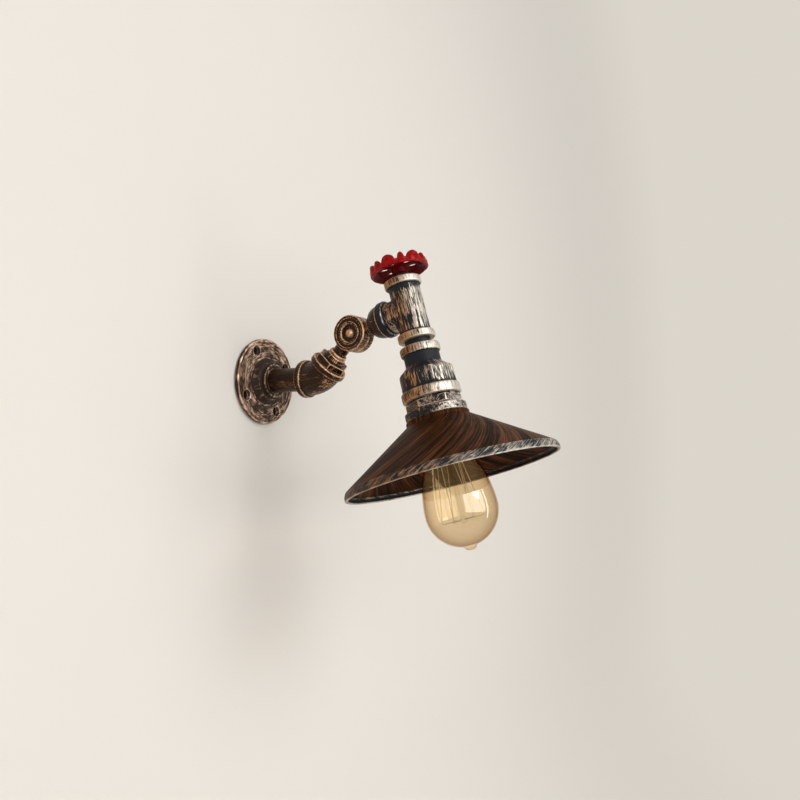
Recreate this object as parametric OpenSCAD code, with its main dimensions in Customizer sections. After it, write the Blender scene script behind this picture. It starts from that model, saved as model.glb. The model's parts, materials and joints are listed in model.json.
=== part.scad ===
// Pipe-fitting wall lamp with a swivel arm, a conical shade and a valve handwheel.
// Millimetres. The wall is the plane Y = 0, the lamp reaches out along -Y, and +Z is up.
// The origin is the centre of the flange's back face.

/* [Wall flange] */
// Diameter of the flange plate
flange_d = 77; // [60:0.5:100]
// Thickness of the flange plate
flange_t = 4.5; // [3:0.1:8]
// Diameter of the hub where it leaves the plate
hub_base_d = 40; // [36:0.5:46]
// Height of the hub's cone above the plate
hub_cone_h = 5.5; // [3:0.1:9]
// Diameter of the lip at the hub's mouth
hub_lip_d = 30; // [27:0.5:34]
// Height of the lip above the cone
hub_lip_h = 4.5; // [2:0.1:8]
// Width of the step round the lip at the hub's mouth
hub_step = 1.6; // [0.8:0.1:2.4]
// Distance from the plate's edge to the middle of a wall screw hole
bolt_edge = 8.5; // [6:0.1:10]
// Diameter of a wall screw hole
bolt_hole_d = 9.4; // [5:0.1:11]
// Angle of the first wall screw hole
bolt_angle = 27; // [0:1:90]

/* [Pipe] */
// Outer diameter of the pipe
pipe_d = 21.3; // [19:0.1:22.5]
// Bore of the pipe
pipe_bore = 16; // [12:0.1:17]
// Length of pipe thread in a fitting
thread_depth = 9; // [6:0.1:10]
// Bare pipe between the flange and the elbow
wall_pipe_l = 32.4; // [15:0.1:80]
// Bare pipe between the tee and the reducer
head_pipe_l = 5; // [3:0.1:20]

/* [Elbow] */
// Angle that the elbow turns up by
elbow_angle = 45; // [30:1:60]
// Radius of the elbow's centre line
elbow_bend_r = 25; // [22:0.5:34]
// Diameter of the elbow's body
elbow_body_d = 29.4; // [27.5:0.1:32]
// Diameter of the elbow's end bands
elbow_band_d = 33.2; // [32.2:0.1:38]
// Width of an end band
elbow_band_w = 6; // [4:0.1:9]

/* [Swivel] */
// Bushing hexagon across its corners
bushing_hex_d = 30; // [26:0.1:33]
// Height of the bushing's hexagon
bushing_hex_h = 5.5; // [3:0.1:9]
// Diameter of the bushing's collar
bushing_collar_d = 19.6; // [16:0.1:24]
// Height of the bushing's collar
bushing_collar_h = 4.8; // [2:0.1:9]
// Height of the taper at the collar's end
bushing_taper_h = 3.2; // [1:0.1:3.6]
// Angle of the bushing hexagon's first corner
bushing_turn = 30; // [0:1:60]
// Diameter of the swivel's threaded stems
stem_d = 10; // [8:0.1:11]
// Length of a stem's thread
stem_thread_l = 9; // [6:0.1:10]
// Diameter of the swivel's necks
neck_d = 12.6; // [11.4:0.1:14]
// Length of the lower neck outside its disc
lower_neck_l = 9; // [6:0.1:16]
// Length of the upper neck outside its disc
upper_neck_l = 2.6; // [2.4:0.1:10]
// Diameter of the ring at the foot of the lower neck
neck_ring_d = 16.4; // [14.5:0.1:19]
// Height of the ring at the foot of the lower neck
neck_ring_h = 3; // [1.5:0.1:4.5]
// Diameter of the two swivel discs
disc_d = 31; // [29:0.1:36]
// Thickness of one swivel disc
disc_t = 8.3; // [7:0.1:11]
// Width of the raised rim on a disc's outer face
disc_rim_w = 2.8; // [2:0.1:3.4]
// Width of the raised ring round the pocket
disc_ring_w = 3.2; // [2:0.1:3.6]
// Depth of the groove between the rim and the ring
groove_depth = 0.8; // [0.4:0.1:1.2]
// Depth of the pocket in a disc's outer face
pocket_depth = 3; // [2.4:0.1:3.6]
// Diameter of the pocket in a disc's outer face
pocket_d = 14.6; // [13:0.1:16]
// Thickness of the friction washer between the discs
friction_t = 0.8; // [0.5:0.1:1.5]
// Distance from the discs' edge to the washer's edge
washer_inset = 2; // [1:0.1:4]
// Diameter of the pivot screw
pivot_d = 6; // [4:0.1:7]
// Diameter of the pivot screw's domed head
pivot_head_d = 8; // [7.6:0.1:10]
// Pivot nut across its corners
pivot_nut_d = 11; // [9:0.1:12]
// Pitch of the upper arm above the horizontal
arm_pitch = 16; // [0:1:40]

/* [Tee] */
// Distance from the tee's centre to either end of its run
tee_half_run = 26.7; // [24:0.1:34]
// Distance from the tee's centre to the end of its branch
tee_branch_l = 25.5; // [24:0.1:34]
// Diameter of the tee's body
tee_body_d = 26; // [24.4:0.1:28]
// Diameter of the tee's end bands
tee_band_d = 31; // [29:0.1:36]
// Width of a tee band
tee_band_w = 6.3; // [4:0.1:9]
// Bore of the tee
tee_bore = 18; // [15:0.1:19]
// Diameter of the domed bushing where it meets the tee
dome_d = 28.6; // [26:0.1:31]
// Height of the dome
dome_h = 11.5; // [8:0.1:16]
// Diameter of the ring at the small end of the dome
dome_ring_d = 16.6; // [14:0.1:20]
// Height of the ring at the small end of the dome
dome_ring_h = 2; // [1:0.1:4]
// Amount that the ring stands out beyond the dome's small end
dome_step = 1.2; // [0.6:0.1:2]

/* [Switch and handwheel] */
// Diameter of the plug's collar above the tee
plug_d = 21; // [17:0.1:26]
// Height of the plug's collar above the tee
plug_h = 2.4; // [1.5:0.1:4]
// Diameter of the switch's threaded bush
switch_bush_d = 9; // [8:0.1:10]
// Diameter of the switch's case
switch_d = 16.4; // [13:0.1:16.6]
// Length of the switch's case
switch_l = 20; // [14:0.5:24]
// Switch nut across its corners
switch_nut_d = 13.6; // [12.4:0.1:15]
// Height of the switch nut
switch_nut_h = 2; // [1.4:0.1:3]
// Diameter of a switch lead
lead_d = 2.2; // [1.4:0.1:3]
// Distance between the middles of the two switch leads
lead_pitch = 6.8; // [4:0.1:10]
// Diameter of the switch's spindle
spindle_d = 6; // [4:0.1:6.4]
// Diameter of the handwheel
wheel_d = 49.6; // [44:0.5:70]
// Height of the wheel's rim
wheel_rim_h = 6.8; // [5.6:0.1:8]
// Width of the wheel's rim
wheel_rim_w = 7; // [5:0.1:9]
// Thickness of the wheel's rim at its inner edge
wheel_rim_t = 3; // [2:0.1:4]
// Amount that the rim leans in from its lower edge to its top
wheel_lean = 3.4; // [2:0.1:4.5]
// Width of the rim's lower edge
wheel_edge_w = 2.2; // [1.4:0.1:3]
// Height of the rim's lower edge
wheel_edge_h = 0.8; // [0.4:0.1:1.4]
// Height of the rim's lower edge above the wheel's foot
wheel_rise = 2; // [1:0.1:4]
// Diameter of the wheel's hub
wheel_hub_d = 13; // [11:0.1:16]
// Height of the wheel's hub
wheel_hub_h = 7.4; // [6:0.1:10]
// Diameter of a large finger lobe
wheel_lobe_d = 9.6; // [7:0.1:11]
// Height of a large lobe above the rim
wheel_lobe_rise = 3.8; // [1:0.1:4]
// Rounding of a large lobe's top
wheel_lobe_round = 2.2; // [1:0.1:3.2]
// Amount that the large lobes stand out beyond the rim
wheel_scallop = 0.6; // [0.4:0.1:1.4]
// Diameter of a small lobe between two large ones
wheel_nub_d = 5; // [3.5:0.1:6.5]
// Height of a small lobe above the rim
wheel_nub_rise = 3.6; // [1:0.1:4]
// Rounding of a small lobe's top
wheel_nub_round = 1.2; // [0.6:0.1:1.7]
// Thickness of the web between the wheel's hub and its rim
wheel_web_t = 1.8; // [1.2:0.1:2]
// Diameter of a hole in the web
wheel_hole_d = 7.2; // [3:0.1:7.4]
// Diameter of the circle that the web's holes lie on
wheel_hole_pcd = 24; // [21:0.1:25]
// Number of large lobes, and of holes in the web
wheel_lobes = 6; // [4:1:8]
// Angle of the first large lobe
wheel_angle = 67; // [0:1:90]
// Wheel nut across its corners
wheel_nut_d = 8.6; // [7.4:0.1:11]
// Height of the wheel nut's hexagon
wheel_nut_h = 2.2; // [1.4:0.1:4]

/* [Reducer] */
// Diameter of the reducer's upper band
red_top_d = 33.2; // [29:0.1:38]
// Height of the reducer's upper band
red_top_h = 7; // [5:0.1:10]
// Diameter of the reducer's neck
red_neck_d = 29.6; // [27:0.1:32]
// Height of the reducer's neck
red_neck_h = 8; // [6:0.1:14]
// Height of the reducer's shoulder
red_shoulder_h = 8.5; // [6:0.1:12]
// Diameter of the bell at its top
bell_top_d = 44.2; // [41:0.1:46]
// Diameter of the bell at its foot
bell_foot_d = 45; // [43:0.1:48]
// Height of the bell
bell_h = 13; // [9:0.1:20]
// Diameter of the reducer's lower band
red_low_d = 48.4; // [45:0.1:54]
// Height of the reducer's lower band
red_low_h = 8.4; // [6:0.1:12]
// Height of the reducer's cavity above the bell or the lampholder
red_roof = 3; // [1:0.1:4]
// Number of cast ribs on the bell
rib_count = 6; // [2:1:8]
// Width of a cast rib
rib_w = 3.2; // [2:0.1:5]
// Height of a cast rib above the bell's foot
rib_h = 0.7; // [0.4:0.1:1.2]
// Depth of a cast rib's root inside the bell
rib_root = 2; // [1.2:0.1:2.4]
// Angle of the first rib
rib_angle = 22; // [0:1:60]

/* [Rings under the reducer] */
// Diameter of the hexagonal bushing's thread
hex_thread_d = 40; // [38.4:0.1:41]
// Hexagonal bushing across its corners
hex_d = 45.8; // [43:0.1:52]
// Height of the hexagonal bushing's hexagon
hex_h = 6.4; // [4:0.1:10]
// Angle of the hexagon's first corner
hex_angle = 6; // [0:1:60]
// Groove between two neighbouring rings
ring_gap = 0.8; // [0.4:0.1:1.6]
// Diameter of the lock ring above the shade
lock_d = 50.4; // [44:0.1:58]
// Height of the lock ring above the shade
lock_h = 7; // [4:0.1:10]
// Diameter of the ring that holds the shade from below
shade_ring_d = 43; // [38:0.1:48]
// Height of the ring that holds the shade from below
shade_ring_h = 4; // [2:0.1:7]

/* [Shade] */
// Diameter of the shade's collar
collar_d = 52; // [48:0.1:60]
// Height of the shade's collar
collar_h = 3.6; // [2:0.1:8]
// Diameter of the shade where its lip starts
shade_d = 171; // [130:1:220]
// Height of the shade's cone
shade_cone_h = 39.5; // [25:0.5:70]
// Height of the shade's lip
lip_h = 6.4; // [4:0.1:12]
// Amount that the lip widens by on each side
lip_flare = 1.4; // [0.5:0.1:3]
// Thickness of the shade's sheet
shade_t = 1.2; // [0.8:0.1:2]

/* [Lampholder and bulb] */
// Outer diameter of the lampholder
holder_d = 33.6; // [32.2:0.1:35]
// Room round the lampholder inside the reducer
holder_room = 0.8; // [0.4:0.1:1.4]
// Bore of the lampholder
holder_bore = 29.2; // [28.6:0.1:30]
// Thickness of the lampholder's closed end
holder_end_t = 3.5; // [2:0.1:6]
// Length of the lampholder above the reducer's lower edge
holder_up_l = 19.5; // [17:0.1:20]
// Thickness of the lampholder's screw shell
shell_t = 0.7; // [0.4:0.1:1]
// Diameter of the lampholder's centre contact
button_d = 8.8; // [6:0.1:10]
// Height of the lampholder's centre contact
button_h = 1.5; // [1:0.1:3]
// Diameter of the bulb's screw cap
cap_d = 26.6; // [26:0.1:27]
// Height of the bulb's screw cap
cap_h = 22; // [18:0.5:24]
// Thickness of the cap's sheet
cap_wall = 0.4; // [0.2:0.1:0.6]
// Height of the insulator behind the cap
cap_tip_h = 4.5; // [3:0.1:6]
// Diameter of the insulator's tip
cap_tip_d = 10.6; // [9:0.1:14]
// Height of the bulb's centre contact
contact_h = 1; // [0.6:0.1:2]
// Diameter of the bulb's centre contact
contact_d = 8.8; // [6:0.1:9]
// Largest diameter of the bulb
bulb_d = 58; // [50:0.5:64]
// Distance from the cap's foot to the widest part of the bulb
bulb_waist_l = 78; // [60:0.5:90]
// Amount that the glass stands out beyond its cap
glass_step = 0.3; // [0.1:0.1:0.8]
// Length of the glass neck inside the cap
glass_neck_l = 6; // [4:0.1:10]
// Thickness of the bulb's glass
glass_t = 0.9; // [0.6:0.1:1.2]
// Diameter of the pip on the bulb's tip
pip_d = 4.4; // [3:0.1:6]
// Diameter of the glass rod inside the bulb
rod_d = 3.4; // [2.4:0.1:5]
// Length of the glass rod beyond the widest part of the bulb
rod_past_waist = 8; // [-8:0.5:12]
// Diameter of the button at the rod's end
rod_button_d = 5.8; // [4:0.1:8]
// Thickness of the stem's flare at its edge
stem_flare_t = 1.2; // [0.8:0.1:2]
// Diameter of the stem's press
stem_press_d = 6.2; // [5.2:0.1:8]
// Length from the cap's foot to the stem's press
stem_press_l = 8; // [5:0.1:12]
// Length of the taper from the press to the rod
stem_taper_l = 6; // [3:0.1:10]
// Diameter of the filament's support wires
support_d = 0.8; // [0.6:0.1:1.2]
// Reach of the lower support wires from the rod's axis
support_reach = 17; // [10:0.1:20]
// Reach of the upper support wires from the rod's axis
upper_wire_reach = 7.8; // [5:0.1:12]
// Length from the cap's foot to the upper support wires
upper_support_l = 21.6; // [18:0.1:30]
// Diameter of the filament
filament_d = 0.6; // [0.4:0.1:0.8]
// Number of lower support wires
support_count = 6; // [4:1:8]

/* [Fits] */
// Radial room in a pipe thread or other fixed fit
thread_gap = 0.05; // [0.03:0.01:0.1]
// Radial room between the pivot screw or spindle and its bore
running_gap = 0.05; // [0.02:0.01:0.1]
// Room between pieces that move past each other
moving_gap = 0.4; // [0.3:0.05:0.8]
// Bevel on the edges of turned bands
bevel = 0.8; // [0.4:0.1:1.2]

/* [Hidden] */
$fn = 96;

// Pipe and thread radii
pipe_r = pipe_d / 2;
socket_r = pipe_r + thread_gap;
stem_r = stem_d / 2;
stem_bore_r = stem_r + thread_gap;

// Places along the wall pipe, measured out from the wall
hub_mouth = flange_t + hub_cone_h + hub_lip_h;
elbow_face = hub_mouth + wall_pipe_l;
elbow_leg = elbow_band_w + elbow_bend_r * tan(elbow_angle / 2);
elbow_centre = [0, -(elbow_face + elbow_leg), 0];

// The swivel's centre, on the axis that leaves the elbow
lower_reach = bushing_hex_h + bushing_collar_h + lower_neck_l + disc_d / 2;
swivel_centre = elbow_centre
    + (elbow_leg + lower_reach) * [0, -cos(elbow_angle), sin(elbow_angle)];
disc_r = disc_d / 2;
disc_inner = friction_t / 2;
disc_outer = disc_inner + disc_t;

// The tee's centre, on the axis of the upper arm
upper_reach = disc_r + upper_neck_l + dome_ring_h + dome_h + tee_branch_l;
tee_centre = swivel_centre + upper_reach * [0, -cos(arm_pitch), sin(arm_pitch)];
dome_foot = tee_branch_l + dome_h;
dome_end = dome_foot + dome_ring_h;

// Places above the tee's centre along its run
plug_top = tee_half_run + plug_h;
switch_top = tee_half_run - thread_depth - ring_gap;
wheel_foot = plug_top + switch_nut_h + moving_gap;
wheel_rim_z = wheel_foot + wheel_rise;
wheel_hub_top = wheel_foot + wheel_hub_h;

// Places below the tee's centre along its run
red_top = tee_half_run + head_pipe_l;
red_neck = red_top + red_top_h;
red_shoulder = red_neck + red_neck_h;
red_bell = red_shoulder + red_shoulder_h;
red_band = red_bell + bell_h;
red_foot = red_band + red_low_h;
hex_top = red_foot + ring_gap;
hex_foot = hex_top + hex_h;
lock_top = hex_foot + ring_gap;
lock_foot = lock_top + lock_h;
collar_foot = lock_foot + collar_h;
lip_top = collar_foot + shade_cone_h;
rim = lip_top + lip_h;
holder_top = red_foot - holder_up_l;
holder_floor = holder_top + holder_end_t;
holder_foot = lock_foot + shade_t + shade_ring_h + ring_gap;
holder_r = holder_d / 2;
holder_fit_r = holder_r + thread_gap;

// Places of the bulb's pieces below the tee's centre
bulb_tip_top = holder_floor + button_h;
cap_tip = bulb_tip_top + contact_h;
cap_top = cap_tip + cap_tip_h;
cap_foot = cap_top + cap_h;
bulb_waist = cap_foot + bulb_waist_l;
bulb_r = bulb_d / 2;
glass_neck_r = cap_d / 2 - cap_wall - thread_gap;
neck_r = cap_d / 2 + glass_step;
rod_foot = bulb_waist + rod_past_waist;
upper_support = cap_foot + upper_support_l;

// Frames: z runs out from the wall, out of the elbow, across the swivel, along the branch to the swivel,
// up the tee's run, and down the tee's run
module wall_frame() rotate([90, 0, 0]) children();
module exit_frame() translate(elbow_centre) rotate([90 - elbow_angle, 0, 0]) children();
module swivel_frame() translate(swivel_centre) rotate([0, 90, 0]) children();
module branch_frame() translate(tee_centre) rotate([-90 - arm_pitch, 0, 0]) children();
module up_frame() translate(tee_centre) rotate([-arm_pitch, 0, 0]) children();
module down_frame() translate(tee_centre) rotate([180 - arm_pitch, 0, 0]) children();

// A straight rod or bore between two heights on the z axis
module rod(r, from, to) translate([0, 0, from]) cylinder(r = r, h = to - from);

// A turned solid from a half outline of [radius, height] points
module turned(outline) rotate_extrude() polygon(outline);

// A turned band with bevelled edges
module band(r, from, to) turned([
    [0, from], [r - bevel, from], [r, from + bevel],
    [r, to - bevel], [r - bevel, to], [0, to]
]);

// A hexagonal prism between two heights
module hex(d, from, to, turn = 0)
    translate([0, 0, from]) rotate(turn) cylinder(d = d, h = to - from, $fn = 6);

// A pipe with a bore along the z axis
module pipe(from, to) difference() {
    rod(pipe_r, from, to);
    rod(pipe_bore / 2, from - 1, to + 1);
}

module wall_flange() color("rosybrown") wall_frame() difference() {
    hub_lip_r = hub_lip_d / 2;
    plate_r = flange_d / 2;
    turned([
        [0, 0], [plate_r - bevel, 0], [plate_r, bevel], [plate_r, flange_t - bevel],
        [plate_r - bevel, flange_t], [hub_base_d / 2, flange_t],
        [hub_lip_r + hub_step + bevel, flange_t + hub_cone_h - bevel],
        [hub_lip_r + hub_step, flange_t + hub_cone_h],
        [hub_lip_r, flange_t + hub_cone_h], [hub_lip_r, hub_mouth - bevel], [hub_lip_r - bevel, hub_mouth],
        [0, hub_mouth]
    ]);
    rod(socket_r, hub_mouth - thread_depth, hub_mouth + 1);
    rod(pipe_bore / 2, -1, hub_mouth);
    for (i = [0:3]) rotate(bolt_angle + 90 * i) translate([plate_r - bolt_edge, 0, 0])
        rod(bolt_hole_d / 2, -1, flange_t + hub_cone_h);
}

module wall_nipple() color("saddlebrown") wall_frame()
    pipe(hub_mouth - thread_depth, elbow_face + thread_depth);

// The elbow's curved run, with a round section of the given radius
module elbow_bend(r)
    translate([0, -(elbow_face + elbow_band_w), elbow_bend_r]) rotate([0, 90, 180])
        rotate_extrude(angle = elbow_angle) translate([elbow_bend_r, 0]) circle(r = r);

module elbow_45() color("sienna") difference() {
    union() {
        elbow_bend(elbow_body_d / 2);
        wall_frame() band(elbow_band_d / 2, elbow_face, elbow_face + elbow_band_w);
        exit_frame() band(elbow_band_d / 2, elbow_leg - elbow_band_w, elbow_leg);
    }
    elbow_bend(pipe_bore / 2);
    wall_frame() rod(socket_r, elbow_face - 1, elbow_face + thread_depth);
    exit_frame() rod(socket_r, elbow_leg - thread_depth, elbow_leg + 1);
}

module elbow_bushing() color("saddlebrown") exit_frame() difference() {
    hex_top_z = elbow_leg + bushing_hex_h;
    collar_top_z = hex_top_z + bushing_collar_h;
    collar_r = bushing_collar_d / 2;
    union() {
        rod(pipe_r, elbow_leg - thread_depth, hex_top_z);
        hex(bushing_hex_d, elbow_leg, hex_top_z, bushing_turn);
        turned([
            [0, elbow_leg], [collar_r, elbow_leg], [collar_r, collar_top_z - bushing_taper_h],
            [neck_ring_d / 2, collar_top_z], [0, collar_top_z]
        ]);
    }
    rod(stem_bore_r, elbow_leg - thread_depth - 1, collar_top_z + 1);
}

// Half outline of a swivel disc, from its mating face at z = 0 to its outer face
function disc_outline(bore_r) = [
    [bore_r, 0], [disc_r - bevel, 0], [disc_r, bevel], [disc_r, disc_t - bevel],
    [disc_r - bevel, disc_t], [disc_r - disc_rim_w, disc_t],
    [disc_r - disc_rim_w - groove_depth, disc_t - groove_depth],
    [pocket_d / 2 + disc_ring_w, disc_t - groove_depth],
    [pocket_d / 2 + disc_ring_w - groove_depth, disc_t], [pocket_d / 2 + bevel, disc_t],
    [pocket_d / 2, disc_t - bevel], [pocket_d / 2, disc_t - pocket_depth], [bore_r, disc_t - pocket_depth]
];

// Room for the other disc to turn in, on the given side of the mating plane
module disc_room(side)
    swivel_frame() mirror([0, 0, side < 0 ? 1 : 0])
        rod(disc_r + moving_gap, -disc_inner, disc_outer * 2);

module swivel_lower() color("sienna") {
    neck_foot = elbow_leg + bushing_hex_h + bushing_collar_h;
    difference() {
        union() {
            swivel_frame() mirror([0, 0, 1]) translate([0, 0, disc_inner])
                turned(disc_outline(pivot_d / 2 + thread_gap));
            difference() {
                exit_frame() {
                    rod(stem_r, neck_foot - stem_thread_l, neck_foot);
                    band(neck_ring_d / 2, neck_foot, neck_foot + neck_ring_h);
                    rod(neck_d / 2, neck_foot, elbow_leg + lower_reach);
                }
                swivel_frame() rod(disc_r - bevel, -disc_outer * 2, disc_outer * 2);
            }
        }
        disc_room(1);
    }
}

module friction_washer() color("dimgray") swivel_frame() difference() {
    rod(disc_r - washer_inset, -disc_inner, disc_inner - running_gap);
    rod(pivot_d / 2 + thread_gap, -disc_t, disc_t);
}

module pivot_screw() color("peru") swivel_frame() {
    seat = disc_outer - pocket_depth;
    rod(pivot_d / 2, -seat, disc_outer - bevel);
    intersection() {
        translate([0, 0, -seat]) sphere(d = pivot_head_d);
        rod(pivot_head_d, -disc_outer * 2, -seat);
    }
}

module pivot_nut() color("dimgray") swivel_frame() difference() {
    seat = disc_outer - pocket_depth + running_gap;
    hex(pivot_nut_d, seat, seat + pocket_depth - bevel - running_gap);
    rod(pivot_d / 2 + thread_gap, 0, disc_outer * 2);
}

module swivel_upper() color("sienna") difference() {
    neck_start = dome_end;
    union() {
        swivel_frame() translate([0, 0, disc_inner]) turned(disc_outline(pivot_d / 2 + running_gap));
        difference() {
            branch_frame() {
                rod(stem_r, neck_start - stem_thread_l, neck_start);
                rod(neck_d / 2, neck_start, upper_reach);
            }
            swivel_frame() rod(disc_r - bevel, -disc_outer * 2, disc_outer * 2);
        }
    }
    disc_room(-1);
}

module branch_bushing() color("saddlebrown") branch_frame() difference() {
    dome_r = dome_d / 2;
    ring_r = dome_ring_d / 2;
    steps = 8;
    union() {
        rod(pipe_r, tee_branch_l - thread_depth, tee_branch_l);
        turned(concat(
            [[0, tee_branch_l]],
            [for (i = [0:steps]) [
                ring_r - dome_step + (dome_r - ring_r + dome_step) * cos(90 * i / steps),
                tee_branch_l + dome_h * sin(90 * i / steps)
            ]],
            [[0, dome_foot]]
        ));
        band(ring_r, dome_foot - 1, dome_end);
    }
    rod(stem_bore_r, tee_branch_l - thread_depth - 1, dome_end + 1);
}

module tee() color("darkslategray") difference() {
    band_r = tee_band_d / 2;
    union() {
        up_frame() {
            rod(tee_body_d / 2, -tee_half_run + 1, tee_half_run - 1);
            band(band_r, tee_half_run - tee_band_w, tee_half_run);
            band(band_r, -tee_half_run, -tee_half_run + tee_band_w);
        }
        branch_frame() {
            rod(tee_body_d / 2, 0, tee_branch_l - 1);
            band(band_r, tee_branch_l - tee_band_w, tee_branch_l);
        }
    }
    up_frame() {
        rod(tee_bore / 2, -tee_half_run, tee_half_run);
        rod(socket_r, tee_half_run - thread_depth, tee_half_run + 1);
        rod(socket_r, -tee_half_run - 1, -tee_half_run + thread_depth);
    }
    branch_frame() {
        rod(tee_bore / 2, 0, tee_branch_l);
        rod(socket_r, tee_branch_l - thread_depth, tee_branch_l + 1);
    }
}

module top_plug() color("#23262b") up_frame() difference() {
    union() {
        rod(pipe_r, tee_half_run - thread_depth, tee_half_run);
        band(plug_d / 2, tee_half_run, plug_top);
    }
    rod(switch_bush_d / 2 + thread_gap, 0, plug_top + 1);
}

module switch_body() color("#1c1c1c") up_frame() difference() {
    bush_top = plug_top + switch_nut_h;
    union() {
        band(switch_d / 2, tee_half_run - thread_depth - switch_l, tee_half_run - thread_depth);
        rod(switch_bush_d / 2, tee_half_run - thread_depth - bevel, bush_top);
    }
    rod(spindle_d / 2 + running_gap, switch_top - switch_l / 2, bush_top + 1);
}

module switch_nut() color("#2b2f35") up_frame() difference() {
    hex(switch_nut_d, plug_top, plug_top + switch_nut_h);
    rod(switch_bush_d / 2 + thread_gap, 0, plug_top + switch_nut_h + 1);
}

// Two insulated leads from the switch down to the lampholder
module switch_leads() color("firebrick") down_frame() {
    switch_foot = thread_depth + switch_l - tee_half_run;
    for (side = [-1, 1]) translate([side * lead_pitch / 2, 0, 0])
        rod(lead_d / 2, switch_foot, holder_top);
}

module head_nipple() color("#23262b") down_frame()
    pipe(tee_half_run - thread_depth, red_top + thread_depth);

module reducer() color("darkslategray") down_frame() {
    neck_outer = red_neck_d / 2;
    bell_top_r = bell_top_d / 2;
    bell_foot_r = bell_foot_d / 2;
    cavity_r = holder_r + holder_room;
    cavity_top = min(holder_top, red_bell) - red_roof;
    thread_top = red_foot - thread_depth - ring_gap;
    bell_slope = atan((bell_foot_r - bell_top_r) / bell_h);
    steps = 8;
    difference() {
        union() {
            band(red_top_d / 2, red_top, red_neck);
            turned(concat(
                [[0, red_neck - 1], [neck_outer, red_neck - 1]],
                [for (i = [0:steps]) [
                    neck_outer + (bell_top_r - neck_outer) * (1 - cos(180 * i / steps)) / 2,
                    red_shoulder + red_shoulder_h * i / steps
                ]],
                [[bell_foot_r, red_band + 1], [0, red_band + 1]]
            ));
            band(red_low_d / 2, red_band, red_foot);
            for (i = [0:rib_count - 1]) rotate(rib_angle + 360 / rib_count * i)
                translate([bell_top_r - rib_root, -rib_w / 2, red_bell - rib_root]) rotate([0, bell_slope, 0])
                    cube([rib_root + rib_h, rib_w, bell_h + rib_root + 1]);
        }
        rod(socket_r, red_top - 1, red_top + thread_depth);
        turned([
            [0, red_top], [pipe_bore / 2, red_top], [pipe_bore / 2, red_shoulder],
            [cavity_r, cavity_top], [cavity_r, thread_top], [0, thread_top]
        ]);
        rod(hex_thread_d / 2 + thread_gap, thread_top, red_foot + 1);
    }
}

module hex_bushing() color("gray") down_frame() difference() {
    union() {
        rod(hex_thread_d / 2, red_foot - thread_depth, hex_top);
        intersection() {
            hex(hex_d, hex_top, hex_foot, hex_angle);
            turned([
                [0, hex_top], [hex_d / 2 - bevel, hex_top], [hex_d / 2, hex_top + bevel],
                [hex_d / 2, hex_foot - bevel], [hex_d / 2 - bevel, hex_foot], [0, hex_foot]
            ]);
        }
    }
    rod(holder_fit_r, red_top, hex_foot + 1);
}

module lock_ring() color("gray") down_frame() difference() {
    band(lock_d / 2, lock_top, lock_foot);
    rod(holder_fit_r, lock_top - 1, lock_foot + 1);
}

module shade() color("#3b2416") down_frame() {
    collar_r = collar_d / 2;
    edge_r = shade_d / 2;
    mouth_r = edge_r + lip_flare;
    turned([
        [holder_fit_r, lock_foot], [collar_r - bevel, lock_foot], [collar_r, lock_foot + bevel],
        [collar_r, collar_foot], [edge_r, lip_top], [mouth_r, lip_top + lip_h / 2], [mouth_r, rim],
        [mouth_r - 2 * shade_t, rim], [mouth_r - 2 * shade_t, rim - shade_t],
        [mouth_r - shade_t, rim - shade_t], [mouth_r - shade_t, lip_top + lip_h / 2],
        [edge_r - shade_t, lip_top + shade_t], [collar_r - shade_t, collar_foot + shade_t],
        [collar_r - shade_t, lock_foot + shade_t], [holder_fit_r, lock_foot + shade_t]
    ]);
}

module shade_ring() color("#1c1c1c") down_frame() difference() {
    top = lock_foot + shade_t;
    band(shade_ring_d / 2, top, top + shade_ring_h);
    rod(holder_fit_r, top - 1, holder_foot + 1);
}

module lampholder_body() color("#151515") down_frame() difference() {
    band(holder_r, holder_top, holder_foot);
    rod(holder_bore / 2, holder_floor, holder_foot + 1);
}

module lampholder_shell() color("darkkhaki") down_frame() difference() {
    shell_r = holder_bore / 2 - thread_gap;
    rod(shell_r, holder_floor, cap_foot - 1);
    rod(shell_r - shell_t, holder_floor - 1, cap_foot);
}

module lampholder_contact() color("goldenrod") down_frame()
    rod(button_d / 2, holder_floor, bulb_tip_top);

module bulb_cap() color("darkgoldenrod") down_frame() difference() {
    rod(cap_d / 2, cap_top, cap_foot);
    rod(cap_d / 2 - cap_wall, cap_top - 1, cap_foot + 1);
}

module bulb_insulator() color("#101010") down_frame()
    turned([[0, cap_tip], [cap_tip_d / 2, cap_tip], [cap_d / 2 - cap_wall, cap_top], [0, cap_top]]);

module bulb_contact() color("silver") down_frame()
    turned([
        [0, bulb_tip_top], [contact_d / 2 - bevel, bulb_tip_top],
        [contact_d / 2, cap_tip], [0, cap_tip]
    ]);

// Outline of the bulb's glass, moved in by a wall thickness
function bulb_outline(inset) = concat(
    [for (i = [0:12]) let (s = i / 12) [
        neck_r - inset + (bulb_r - neck_r) * (1 - cos(180 * s)) / 2,
        cap_foot + bulb_waist_l * s
    ]],
    [for (i = [1:9]) [(bulb_r - inset) * cos(10 * i), bulb_waist + (bulb_r - inset) * sin(10 * i)]]
);

module bulb_glass() color("peru", 0.4) down_frame() difference() {
    union() {
        turned(concat([[0, cap_foot]], bulb_outline(0)));
        rod(glass_neck_r, cap_foot - glass_neck_l, cap_foot + 1);
        rod(pip_d / 2, bulb_waist + bulb_r - 2, bulb_waist + bulb_r + pip_d / 4);
        translate([0, 0, bulb_waist + bulb_r + pip_d / 4]) sphere(d = pip_d);
    }
    turned(concat([[0, cap_foot]], bulb_outline(glass_t)));
    rod(glass_neck_r - glass_t, cap_foot - glass_neck_l - 1, cap_foot + 1);
}

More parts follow.
